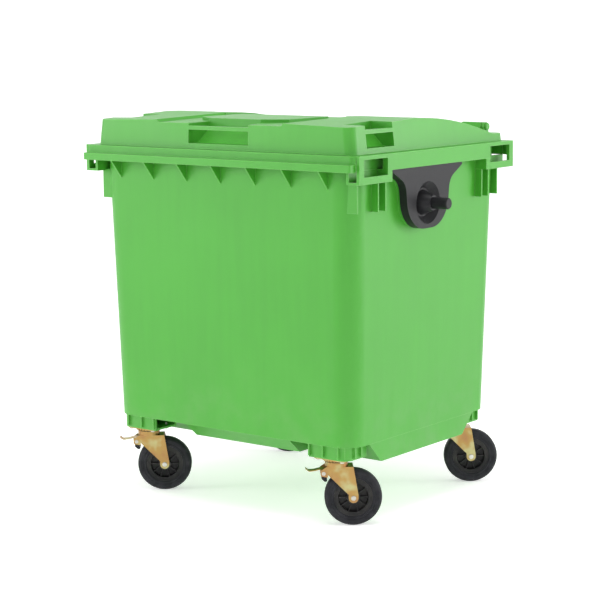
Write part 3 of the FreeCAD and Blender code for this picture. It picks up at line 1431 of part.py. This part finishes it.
def make_brake(word, x_side, y_side):
    """Pedal, shoe, pivot pin and toothed ring of a braked castor."""
    place = swivel_placement(x_side, y_side)
    x, z = D.brake_pivot_x, D.brake_pivot_z
    sheet = D.brake_sheet
    pedal = new_body(f"brake_pedal_{word}")
    tip = -D.pedal_reach
    blade = [
        (x + 10, z + 9),
        (x + 10, z + 9 + sheet),
        (x - 14, z + 9 + sheet, 8),
        (x - 30, z + 5 + sheet, 20),
        (tip + 12, z + 3 + sheet, 10),
        (tip, z + 12 + sheet),
        (tip, z + 12),
        (tip + 12, z + 3, 10),
        (x - 30, z + 5, 20),
        (x - 14, z + 9, 8),
    ]
    blade.reverse()
    pad_y(pedal, [blade], -D.lever_half, D.lever_half)
    bridge = box(x - 12, x + 10, z + 9, z + 9 + sheet)
    pad_y(pedal, [bridge], -D.pedal_half, D.pedal_half)
    cheek = [(x - 12, z + 11), (x - 12, z - 2, 6), (x + 8, z - 6, 6), (x + 10, z + 11)]
    for low, high in ((-D.pedal_half, -D.pedal_half + sheet), (D.pedal_half - sheet, D.pedal_half)):
        pad_y(pedal, [cheek], low, high)
    pocket_y(pedal, [(x, z, D.brake_pin_round + D.fit_gap)], -D.pedal_half, D.pedal_half)
    pedal.Placement = place
    keep(pedal, f"brake_pedal_{word}")

    shoe = new_body(f"brake_shoe_{word}")
    block = [(x - 8, z + 7), (x - 7, z - 22, 5), (x + 4, z - 32, 4), (x + 13, z - 31, 4), (x + 9, z + 7)]
    half = D.pedal_half - sheet - D.loose_gap
    pad_y(shoe, [block], -half, half)
    pocket_y(shoe, [(x, z, D.brake_pin_round + D.fit_gap)], -half, half)
    shoe.Placement = place
    keep(shoe, f"brake_shoe_{word}")

    pin = new_body(f"brake_pin_{word}")
    half_all = D.fork_gap_half + D.fork_wall
    profile = [
        (0, -half_all - 2),
        (D.brake_pin_round + 3, -half_all - 2),
        (D.brake_pin_round + 3, -half_all),
        (D.brake_pin_round, -half_all),
        (D.brake_pin_round, half_all),
        (D.brake_pin_round + 3, half_all),
        (D.brake_pin_round + 3, half_all + 2),
        (0, half_all + 2),
    ]
    turn_z(pin, profile)
    spot = Placement(Vector(number(x), 0, number(z)), Rotation(Vector(0, 0, 1), Vector(0, -1, 0)))
    pin.Placement = place.multiply(spot)
    keep(pin, f"brake_pin_{word}")

    ring = new_body(f"lock_ring_{word}")
    low = D.crown_z + D.cup_high + 3
    root = D.lock_ring_round - 4
    pad_z(ring, [(0, 0, root), (0, 0, D.cup_round - 4)], low, D.castor_high - D.top_plate_thick)
    tooth = [(root - 1, -3), (D.lock_ring_round, -2), (D.lock_ring_round, 2), (root - 1, 3)]
    made = pad_z(ring, [tooth], low, D.castor_high - D.top_plate_thick)
    repeat_round(ring, made, D.lock_ring_teeth)
    ring.Placement = castor_placement(x_side, y_side)
    keep(ring, f"lock_ring_{word}")


def make_castor_screws():
    screws = []
    for x, y in screw_places():
        low = number(D.castor_high - D.top_plate_thick)
        place = Placement(Vector(number(x), number(y), low), Rotation())
        length = D.top_plate_thick + D.pad_wall + D.screw_past
        screws.append(hex_bolt(D.screw_round, length, D.screw_across, D.screw_head, place))
    group("castor_screws", screws)


CASTORS = [
    ("front_left", -1, -1, True),
    ("front_right", 1, -1, True),
    ("rear_left", -1, 1, False),
    ("rear_right", 1, 1, False),
]


def make_castors():
    for word, x_side, y_side, braked in CASTORS:
        make_top_plate(word, x_side, y_side)
        make_kingpin(word, x_side, y_side)
        make_swivel_bearing(word, x_side, y_side)
        make_fork(word, x_side, y_side, braked)
        make_axle(word, x_side, y_side)
        make_wheel(word, x_side, y_side)
        if braked:
            make_brake(word, x_side, y_side)
    make_castor_screws()


# ---------------------------------------------------------------- checks and files


def check():
    DOCUMENT.recompute()
    faults = []
    for thing in DOCUMENT.Objects:
        if "Invalid" in thing.State or "Error" in thing.State:
            faults.append(f"{thing.Name} ({thing.Label}): {thing.State}")
    for thing in NODES:
        if thing.Shape.isNull() or not thing.Shape.isValid():
            faults.append(f"{thing.Label}: shape is null or not valid")
        elif not thing.Shape.Solids:
            faults.append(f"{thing.Label}: has no solid")
    if faults:
        raise RuntimeError("; ".join(faults))


def write_parts():
    os.makedirs("parts", exist_ok=True)
    for thing in NODES:
        thing.Shape.exportStep(os.path.join("parts", f"{thing.Label}.step"))


make_tub()
for trunnion_side, trunnion_word in ((-1, "left"), (1, "right")):
    make_trunnion(trunnion_side, trunnion_word)
make_trunnion_bolts()
make_lid()
make_hinge_pins()
make_drain()
make_castors()
check()
write_parts()
print(len(NODES), "sub-parts written")
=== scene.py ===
"""Looks of a four-wheeled waste container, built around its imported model.

Metres, +Z up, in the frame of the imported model: +X runs along the container's length and -Y is its front.
"""

import json
import math

import bmesh
import bpy
from bpy.props import FloatProperty, FloatVectorProperty, PointerProperty
from mathutils import Matrix, Vector

bl_info = {
    "name": "Waste Container Looks",
    "version": (1, 0, 0),
    "blender": (4, 5, 0),
    "location": "View3D > Sidebar > Container",
    "description": "Gives a packed waste container its moulded edges, finishes and studio",
    "category": "Object",
}

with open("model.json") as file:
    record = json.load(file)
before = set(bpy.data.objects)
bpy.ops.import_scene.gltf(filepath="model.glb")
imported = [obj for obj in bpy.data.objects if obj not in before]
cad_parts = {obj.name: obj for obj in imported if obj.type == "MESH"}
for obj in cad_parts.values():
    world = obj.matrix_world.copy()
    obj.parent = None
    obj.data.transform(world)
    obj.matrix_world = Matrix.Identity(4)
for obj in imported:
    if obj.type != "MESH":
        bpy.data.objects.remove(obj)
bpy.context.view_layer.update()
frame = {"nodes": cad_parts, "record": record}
NODES = frame["nodes"]
SHARP_ANGLE = math.radians(28)
FLAT_ANGLE = math.radians(0.5)
SAME_POINT = 0.00002
DUST_COLOUR = (0.32, 0.30, 0.26, 1.0)
GRIME_COLOUR = (0.12, 0.10, 0.08, 1.0)
WHITE = (1.0, 1.0, 1.0, 1.0)

BEND_STEPS = 12
ROUND_STEPS = 96

# The camera's place, the way it looks and its small tilt.
CAMERA_PLACE = (4.152, -5.492, 1.732)
CAMERA_AHEAD = (-0.59542872, 0.78932032, -0.14979347)
CAMERA_ROLL = math.radians(-0.42)

# Each light's place and the point that it faces.
KEY_PLACE = ((-5.2, -4.8, 2.6), (0, 0, 0.8))
SIDE_PLACE = ((5.4, 4.2, 2.2), (0.5, 0, 0.8))
TOP_PLACE = ((0.6, -0.6, 5.5), (0, 0, 1.2))

# ---------------------------------------------------------------- shader maths


class Channel:
    """A socket in a material's node tree that takes part in Python sums."""

    def __init__(self, finish, socket):
        self.finish = finish
        self.socket = socket

    def _math(self, operation, first, second):
        made = self.finish.node("ShaderNodeMath", {"operation": operation}, {0: first, 1: second})
        return made[0]

    def __add__(self, other):
        return self._math("ADD", self, other)

    def __radd__(self, other):
        return self._math("ADD", other, self)

    def __sub__(self, other):
        return self._math("SUBTRACT", self, other)

    def __rsub__(self, other):
        return self._math("SUBTRACT", other, self)

    def __mul__(self, other):
        return self._math("MULTIPLY", self, other)

    def __rmul__(self, other):
        return self._math("MULTIPLY", other, self)

    def clamp(self):
        made = self.finish.node("ShaderNodeClamp", {}, {0: self})
        return made[0]

    def band(self, low, high):
        """0 under low, 1 over high, and smooth between."""
        settings = {"interpolation_type": "SMOOTHSTEP"}
        made = self.finish.node("ShaderNodeMapRange", settings, {0: self, 1: low, 2: high})
        return made[0]


class Made:
    """A node that was just made, with its outputs by number or name."""

    def __init__(self, finish, node):
        self.finish = finish
        self.node = node

    def __getitem__(self, key):
        return Channel(self.finish, self.node.outputs[key])


class Finish:
    """A material under construction."""

    def __init__(self, name):
        self.material = bpy.data.materials.new(name)
        self.material.use_nodes = True
        self.tree = self.material.node_tree
        self.tree.nodes.clear()

    def node(self, kind, settings=None, inputs=None):
        """A node of this type, with its settings made first and its sockets given values or links."""
        made = self.tree.nodes.new(kind)
        for key, value in (settings or {}).items():
            if key == "stops":
                self._set_stops(made.color_ramp, value)
            else:
                setattr(made, key, value)
        for key, value in (inputs or {}).items():
            socket = made.inputs[key]
            if isinstance(value, Channel):
                self.tree.links.new(value.socket, socket)
            else:
                socket.default_value = value
        return Made(self, made)

    @staticmethod
    def _set_stops(ramp, stops):
        while len(ramp.elements) < len(stops):
            ramp.elements.new(0.5)
        for element, (place, colour) in zip(ramp.elements, stops):
            element.position = place
            element.color = colour

    def place(self):
        """Position on the piece, in metres, which turns and moves with it."""
        return self.node("ShaderNodeTexCoord")["Object"]

    def stretched(self, scale):
        return self.node("ShaderNodeMapping", {}, {"Vector": self.place(), "Scale": scale})[0]

    def noise(self, scale, detail=2.0, roughness=0.5, where=None):
        inputs = {"Scale": scale, "Detail": detail, "Roughness": roughness}
        inputs["Vector"] = where or self.place()
        return self.node("ShaderNodeTexNoise", {}, inputs)[0]

    def blend(self, factor, first, second):
        inputs = {0: factor, 6: first, 7: second}
        return self.node("ShaderNodeMix", {"data_type": "RGBA"}, inputs)[2]

    def edge(self, radius):
        """1 on sharp outer edges and in sharp inner corners, 0 on faces."""
        soft = self.node("ShaderNodeBevel", {"samples": 6}, {"Radius": radius})["Normal"]
        hard = self.node("ShaderNodeNewGeometry")["Normal"]
        dot = self.node("ShaderNodeVectorMath", {"operation": "DOT_PRODUCT"}, {0: soft, 1: hard})["Value"]
        return (1.0 - dot).clamp()

    def height(self):
        """Height above the ground of the point at rest."""
        return self.node("ShaderNodeSeparateXYZ", {}, {0: self.place()})["Z"]

    def bump(self, heights):
        """Stack bumps, each (height, strength, depth in metres), coarse ones first."""
        normal = None
        for height, strength, depth in heights:
            inputs = {"Height": height, "Strength": strength, "Distance": depth}
            if normal is not None:
                inputs["Normal"] = normal
            normal = self.node("ShaderNodeBump", {}, inputs)["Normal"]
        return normal

    def close(self, inputs):
        """Principled shader with these socket values or links, joined to the output."""
        shader = self.node("ShaderNodeBsdfPrincipled", {}, inputs)
        self.node("ShaderNodeOutputMaterial", {}, {"Surface": shader["BSDF"]})
        return self.material


# ---------------------------------------------------------------- finishes


def moulded_plastic(name, settings):
    """Moulded polyethylene: fine grain, slight waviness, a painted highlight on the edges, scuffs and dust
    low down.
    """
    finish = Finish(name)
    colour = (*settings.colour, 1.0)
    pale = (*settings.pale, 1.0)
    deep = tuple(part * settings.mottle for part in settings.colour) + (1.0,)
    cloud = finish.noise(2.2, 3.0)
    streak = finish.noise(5.0, 3.0, 0.6, finish.stretched((6.0, 6.0, 0.5)))
    base = finish.blend((cloud * 0.65 + streak * 0.35).band(0.35, 0.65), deep, colour)
    scratches = finish.noise(34.0, 4.0, 0.7, finish.stretched((1.0, 1.0, 9.0)))
    scuff = scratches.band(0.66, 0.76) * finish.noise(3.1, 2.0).band(0.45, 0.65)
    # Sharp edges are painted paler as a painted highlight; the scuffs are real wear.
    edge = finish.edge(settings.edge_width).band(0.02, 0.3)
    scuffs_and_edge_highlight = (edge * settings.edge_highlight + scuff * settings.scuff).clamp()
    base = finish.blend(scuffs_and_edge_highlight, base, pale)
    low = (1.0 - finish.height().band(0.2, 0.62)) * finish.noise(9.0, 4.0, 0.65).band(0.35, 0.75)
    base = finish.blend(low * settings.dust, base, DUST_COLOUR)
    grain = finish.noise(900.0, 2.0)
    wave = finish.noise(7.0, 1.0)
    rough = settings.roughness + (cloud - 0.5) * 0.12 + scuff * 0.12 + (grain - 0.5) * 0.06
    normal = finish.bump([(wave, 0.5, 0.0025), (scuff, 0.25, 0.0004), (grain, 0.35, 0.00018)])
    return finish.close({
        "Base Color": base,
        "Roughness": rough,
        "Normal": normal,
        "IOR": 1.5,
        "Specular IOR Level": settings.gloss,
    })


def zinc_steel(name, settings):
    """Zinc-plated pressed steel with passivation colours, rolling marks and handling scratches."""
    finish = Finish(name)
    patch = finish.noise(17.0, 2.0, 0.5)
    tint = finish.node("ShaderNodeValToRGB", {"stops": [
        (0.30, (*settings.tint, 1.0)),
        (0.48, (*settings.colour, 1.0)),
        (0.62, (*settings.pale, 1.0)),
        (0.78, (*settings.colour, 1.0)),
    ]}, {"Fac": patch})["Color"]
    lines = finish.noise(240.0, 2.0, 0.5, finish.stretched((1.0, 1.0, 0.15)))
    edge = finish.edge(0.0012).band(0.02, 0.3)
    grime = finish.noise(60.0, 5.0, 0.7).band(0.58, 0.8)
    base = finish.blend(edge * 0.5, tint, (*settings.pale, 1.0))
    base = finish.blend(grime * 0.3, base, GRIME_COLOUR)
    rough = settings.roughness + (lines - 0.5) * 0.2 + grime * 0.25
    normal = finish.bump([(patch, 0.15, 0.0006), (lines, 0.25, 0.00008)])
    return finish.close({
        "Base Color": base,
        "Metallic": 1.0 - grime * 0.3,
        "Roughness": rough,
        "Normal": normal,
    })


def solid_rubber(name, settings):
    """Solid rubber with a dusty tread."""
    finish = Finish(name)
    cloud = finish.noise(30.0, 3.0)
    speck = finish.noise(420.0, 3.0, 0.6)
    edge = finish.edge(0.002).band(0.03, 0.4)
    dusty = (*settings.dust_colour, 1.0)
    base = finish.blend(cloud.band(0.3, 0.7) * 0.5, (*settings.colour, 1.0), dusty)
    base = finish.blend((edge * 0.4 + speck.band(0.55, 0.8) * 0.3).clamp(), base, dusty)
    rough = settings.roughness + (cloud - 0.5) * 0.15
    normal = finish.bump([(cloud, 0.3, 0.0006), (speck, 0.4, 0.0002)])
    return finish.close({
        "Base Color": base,
        "Roughness": rough,
        "Normal": normal,
        "Specular IOR Level": 0.28,
    })


# ---------------------------------------------------------------- settings


class PlasticSettings(bpy.types.PropertyGroup):
    """Colour and surface of a moulded plastic."""

    colour: FloatVectorProperty(
        name="Colour", description="Main colour of the plastic",
        subtype="COLOR", default=(0.056, 0.344, 0.024), min=0.0, max=1.0,
    )
    # Pale colour: a painted highlight on the sharp edges, and real wear on the scuffs.
    pale: FloatVectorProperty(
        name="Scuff and highlight colour", description="Colour of rubbed edges and scuffs",
        subtype="COLOR", default=(0.27, 0.60, 0.19), min=0.0, max=1.0,
    )
    mottle: FloatProperty(
        name="Mottle", description="Darkest cloud as a share of the colour",
        default=0.93, min=0.5, max=1.0,
    )
    roughness: FloatProperty(
        name="Roughness", description="How matt the plastic is",
        default=0.42, min=0.05, max=1.0,
    )
    gloss: FloatProperty(
        name="Gloss", description="Strength of the reflection",
        default=0.5, min=0.0, max=1.0,
    )
    edge_width: FloatProperty(
        name="Edge width", description="Width of the paler edges",
        default=0.004, min=0.0005, max=0.02, unit="LENGTH",
    )
    # Edge paleness is a painted highlight, not wear.
    edge_highlight: FloatProperty(
        name="Edge highlight", description="How pale the edges are",
        default=0.55, min=0.0, max=1.0,
    )
    scuff: FloatProperty(
        name="Scuffs", description="How strongly scuffs show",
        default=0.12, min=0.0, max=1.0,
    )
    dust: FloatProperty(
        name="Dust", description="How much dust lies low down",
        default=0.10, min=0.0, max=1.0,
    )


class ZincSettings(bpy.types.PropertyGroup):
    """Colours of zinc-plated steel."""

    colour: FloatVectorProperty(
        name="Colour", description="Main colour of the plating",
        subtype="COLOR", default=(0.40, 0.255, 0.088), min=0.0, max=1.0,
    )
    tint: FloatVectorProperty(
        name="Tint", description="Deeper colour in patches",
        subtype="COLOR", default=(0.36, 0.19, 0.085), min=0.0, max=1.0,
    )
    pale: FloatVectorProperty(
        name="Pale", description="Paler colour in patches and on edges",
        subtype="COLOR", default=(0.45, 0.42, 0.21), min=0.0, max=1.0,
    )
    roughness: FloatProperty(
        name="Roughness", description="How matt the plating is",
        default=0.36, min=0.05, max=1.0,
    )


class RubberSettings(bpy.types.PropertyGroup):
    """Colours of solid rubber."""

    colour: FloatVectorProperty(
        name="Colour", description="Colour of clean rubber",
        subtype="COLOR", default=(0.008, 0.008, 0.011), min=0.0, max=1.0,
    )
    dust_colour: FloatVectorProperty(
        name="Dust", description="Colour of dusty rubber",
        subtype="COLOR", default=(0.036, 0.037, 0.043), min=0.0, max=1.0,
    )
    roughness: FloatProperty(
        name="Roughness", description="How matt the rubber is",
        default=0.68, min=0.05, max=1.0,
    )


class StageSettings(bpy.types.PropertyGroup):
    """Floor, lights and camera."""

    floor_colour: FloatVectorProperty(
        name="Floor", description="Colour of the floor",
        subtype="COLOR", default=(0.90, 0.90, 0.90), min=0.0, max=1.0,
    )
    backdrop_round: FloatProperty(
        name="Backdrop radius", description="Radius of the round backdrop",
        default=13.0, min=9.0, unit="LENGTH",
    )
    backdrop_bend: FloatProperty(
        name="Backdrop bend", description="Radius of the bend from floor to wall",
        default=4.0, min=0.5, unit="LENGTH",
    )
    backdrop_high: FloatProperty(
        name="Backdrop height", description="Height of the backdrop",
        default=8.0, min=4.5, unit="LENGTH",
    )
    sky: FloatProperty(
        name="Sky", description="Strength of the even light from all round",
        default=0.5, min=0.0,
    )
    key: FloatProperty(
        name="Key light", description="Power of the main light",
        default=150.0, min=0.0, unit="POWER",
    )
    fill: FloatProperty(
        name="Fill light", description="Power of the light from the side",
        default=150.0, min=0.0, unit="POWER",
    )
    top: FloatProperty(
        name="Top light", description="Power of the light from above",
        default=120.0, min=0.0, unit="POWER",
    )
    glow: FloatProperty(
        name="Backdrop glow", description="Strength of the backdrop's own even light",
        default=0.42, min=0.0,
    )
    lens: FloatProperty(
        name="Lens", description="Focal length",
        default=110.83, min=10.0, unit="CAMERA",
    )


class EdgeSettings(bpy.types.PropertyGroup):
    """Widths of the rounded edges."""

    moulded: FloatProperty(
        name="Large mouldings", description="Edge width of the tub and the lid",
        default=0.0028, min=0.0, unit="LENGTH",
    )
    small_moulded: FloatProperty(
        name="Small mouldings", description="Edge width of the small plastic parts",
        default=0.0018, min=0.0, unit="LENGTH",
    )
    rubber: FloatProperty(
        name="Rubber", description="Edge width of the tyres and brake shoes",
        default=0.0012, min=0.0, unit="LENGTH",
    )
    steel: FloatProperty(
        name="Steel", description="Edge width of the steel parts",
        default=0.0007, min=0.0, unit="LENGTH",
    )


class LooksSettings(bpy.types.PropertyGroup):
    """Everything that a user may change about the container's looks."""

    green: PointerProperty(type=PlasticSettings)
    dark: PointerProperty(type=PlasticSettings)
    black: PointerProperty(type=PlasticSettings)
    yellow_zinc: PointerProperty(type=ZincSettings)
    plain_zinc: PointerProperty(type=ZincSettings)
    rubber: PointerProperty(type=RubberSettings)
    edges: PointerProperty(type=EdgeSettings)
    stage: PointerProperty(type=StageSettings)


# ---------------------------------------------------------------- pieces


def settings_of(context):
    return context.scene.container_looks


def nodes_of_slot(*slots):
    """Names of the model's nodes whose material slot is one of these."""
    return [row["node"] for row in frame["record"]["subparts"] if row["material_slot"] in slots]


def paint(names, material):
    for name in names:
        mesh = NODES[name].data
        mesh.materials.clear()
        mesh.materials.append(material)


def soften(name, width, segments):
    """Round the sharp edges of a node by this width, and keep its flat faces flat."""
    piece = NODES[name]
    piece.data.shade_smooth()
    piece.data.set_sharp_from_angle(angle=SHARP_ANGLE)
    weld = piece.modifiers.new("weld", "WELD")
    weld.merge_threshold = SAME_POINT
    flat = piece.modifiers.new("flat", "DECIMATE")
    flat.decimate_type = "DISSOLVE"
    flat.angle_limit = FLAT_ANGLE
    bevel = piece.modifiers.new("bevel", "BEVEL")
    bevel.width = width
    bevel.segments = segments
    bevel.limit_method = "ANGLE"
    bevel.angle_limit = SHARP_ANGLE
    bevel.use_clamp_overlap = True
    even = piece.modifiers.new("even", "WEIGHTED_NORMAL")
    even.mode = "FACE_AREA"
    even.keep_sharp = True


class SoftenEdges(bpy.types.Operator):
    """Round the edges of every part as moulding and pressing leave them"""

    bl_idname = "container.soften_edges"
    bl_label = "Soften edges"

    def execute(self, context):
        edges = settings_of(context).edges
        for name in nodes_of_slot("green_plastic"):
            soften(name, edges.moulded, 3)
        for name in nodes_of_slot("dark_plastic", "black_plastic", "bush_plastic", "seal_rubber"):
            soften(name, edges.small_moulded, 2)
        for name in nodes_of_slot("tyre_rubber", "brake_rubber"):
            soften(name, edges.rubber, 2)
        for name in nodes_of_slot("yellow_zinc", "plain_zinc", "dark_steel"):
            soften(name, edges.steel, 2)
        return {"FINISHED"}


class PaintPlastics(bpy.types.Operator):
    """Give the moulded plastic parts their finish"""

    bl_idname = "container.paint_plastics"
    bl_label = "Paint plastics"

    def execute(self, context):
        looks = settings_of(context)
        paint(nodes_of_slot("green_plastic"), moulded_plastic("green_polyethylene", looks.green))
        paint(nodes_of_slot("dark_plastic", "dark_steel"), moulded_plastic("dark_polyethylene", looks.dark))
        paint(nodes_of_slot("black_plastic"), moulded_plastic("black_polypropylene", looks.black))
        paint(nodes_of_slot("bush_plastic"), moulded_plastic("bush_nylon", looks.dark))
        return {"FINISHED"}


class PaintMetals(bpy.types.Operator):
    """Give the steel parts their plating"""

    bl_idname = "container.paint_metals"
    bl_label = "Paint metals"

    def execute(self, context):
        looks = settings_of(context)
        paint(nodes_of_slot("yellow_zinc"), zinc_steel("yellow_zinc_plate", looks.yellow_zinc))
        paint(nodes_of_slot("plain_zinc"), zinc_steel("plain_zinc_plate", looks.plain_zinc))
        return {"FINISHED"}


class PaintRubbers(bpy.types.Operator):
    """Give the tyres, brake shoes and seal their rubber"""

    bl_idname = "container.paint_rubbers"
    bl_label = "Paint rubbers"

    def execute(self, context):
        looks = settings_of(context)
        names = nodes_of_slot("tyre_rubber", "brake_rubber", "seal_rubber")
        paint(names, solid_rubber("solid_rubber", looks.rubber))
        return {"FINISHED"}


def area_light(name, power, size, place, aim):
    data = bpy.data.lights.new(name, "AREA")
    data.energy = power
    data.size = size
    light = bpy.data.objects.new(name, data)
    light.location = place
    light.rotation_euler = (Vector(aim) - Vector(place)).to_track_quat("-Z", "Y").to_euler()
    bpy.context.scene.collection.objects.link(light)
    return light


def backdrop_mesh(stage):
    """A round floor that bends up into a wall."""
    mesh = bpy.data.meshes.new("backdrop")
    shell = bmesh.new()
    flat = stage.backdrop_round - stage.backdrop_bend
    outline = [(0.0, 0.0), (flat, 0.0)]
    for step in range(1, BEND_STEPS + 1):
        turn = math.radians(90) * step / BEND_STEPS
        reach = flat + stage.backdrop_bend * math.sin(turn)
        outline.append((reach, stage.backdrop_bend * (1 - math.cos(turn))))
    outline.append((stage.backdrop_round, stage.backdrop_high))
    corners = [shell.verts.new((reach, 0.0, height)) for reach, height in outline]
    edges = [shell.edges.new(pair) for pair in zip(corners, corners[1:])]
    upright = {"cent": (0, 0, 0), "axis": (0, 0, 1), "angle": math.tau}
    bmesh.ops.spin(shell, geom=corners + edges, steps=ROUND_STEPS, **upright)
    bmesh.ops.remove_doubles(shell, verts=shell.verts, dist=0.0001)
    bmesh.ops.recalc_face_normals(shell, faces=shell.faces)
    shell.to_mesh(mesh)
    shell.free()
    mesh.shade_smooth()
    return mesh


class BuildStage(bpy.types.Operator):
    """Add the floor, the lights and the camera"""

    bl_idname = "container.build_stage"
    bl_label = "Build stage"

    def execute(self, context):
        stage = settings_of(context).stage
        scene = context.scene
        mesh = backdrop_mesh(stage)
        floor = bpy.data.objects.new("backdrop", mesh)
        scene.collection.objects.link(floor)
        finish = Finish("floor_paper")
        tone = finish.noise(3.0, 2.0)
        colour = (*stage.floor_colour, 1.0)
        base = finish.blend(tone * 0.1, colour, WHITE)
        paper = {
            "Base Color": base,
            "Roughness": 0.9,
            "Emission Color": WHITE,
            "Emission Strength": stage.glow,
        }
        mesh.materials.append(finish.close(paper))

        world = bpy.data.worlds.new("sky")
        scene.world = world
        world.use_nodes = True
        backdrop = world.node_tree.nodes["Background"]
        backdrop.inputs["Color"].default_value = WHITE
        backdrop.inputs["Strength"].default_value = stage.sky

        area_light("key_light", stage.key, 2.5, *KEY_PLACE)
        area_light("side_light", stage.fill, 2.5, *SIDE_PLACE)
        area_light("top_light", stage.top, 3.0, *TOP_PLACE)

        data = bpy.data.cameras.new("camera")
        data.lens = stage.lens
        data.sensor_width = 36.0
        data.clip_end = 200.0
        camera = bpy.data.objects.new("camera", data)
        scene.collection.objects.link(camera)
        camera.location = CAMERA_PLACE
        ahead = Vector(CAMERA_AHEAD)
        level = ahead.to_track_quat("-Z", "Y")
        roll = Matrix.Rotation(CAMERA_ROLL, 4, "Z")
        camera.matrix_world = Matrix.Translation(camera.location) @ level.to_matrix().to_4x4() @ roll
        scene.camera = camera
        scene.view_settings.view_transform = "Standard"
        return {"FINISHED"}


class ContainerPanel(bpy.types.Panel):
    """Buttons for the container's looks"""

    bl_idname = "VIEW3D_PT_container_looks"
    bl_label = "Container"
    bl_space_type = "VIEW_3D"
    bl_region_type = "UI"
    bl_category = "Container"

    def draw(self, context):
        for operator in OPERATORS:
            self.layout.operator(operator.bl_idname)


OPERATORS = (SoftenEdges, PaintPlastics, PaintMetals, PaintRubbers, BuildStage)
SETTINGS = (PlasticSettings, ZincSettings, RubberSettings, EdgeSettings, StageSettings, LooksSettings)
CLASSES = (*SETTINGS, *OPERATORS, ContainerPanel)


def register():
    for kind in CLASSES:
        bpy.utils.register_class(kind)
    bpy.types.Scene.container_looks = PointerProperty(type=LooksSettings)


def unregister():
    del bpy.types.Scene.container_looks
    for kind in reversed(CLASSES):
        bpy.utils.unregister_class(kind)


def set_defaults(looks):
    """Colours of the finishes that share a group of settings with the green plastic or the yellow zinc."""
    looks.dark.colour = (0.015, 0.015, 0.017)
    # The pale colours are the painted edge highlight and the scuff colour.
    looks.dark.pale = (0.06, 0.06, 0.064)
    looks.dark.roughness = 0.38
    looks.dark.gloss = 0.22
    looks.black.colour = (0.008, 0.008, 0.009)
    looks.black.pale = (0.04, 0.04, 0.042)
    looks.black.gloss = 0.22
    looks.plain_zinc.colour = (0.50, 0.48, 0.43)
    looks.plain_zinc.tint = (0.50, 0.47, 0.42)
    looks.plain_zinc.pale = (0.64, 0.63, 0.60)


def main():
    register()
    set_defaults(bpy.context.scene.container_looks)
    bpy.ops.container.soften_edges()
    bpy.ops.container.paint_plastics()
    bpy.ops.container.paint_metals()
    bpy.ops.container.paint_rubbers()
    bpy.ops.container.build_stage()


if __name__ == "__main__":
    main()
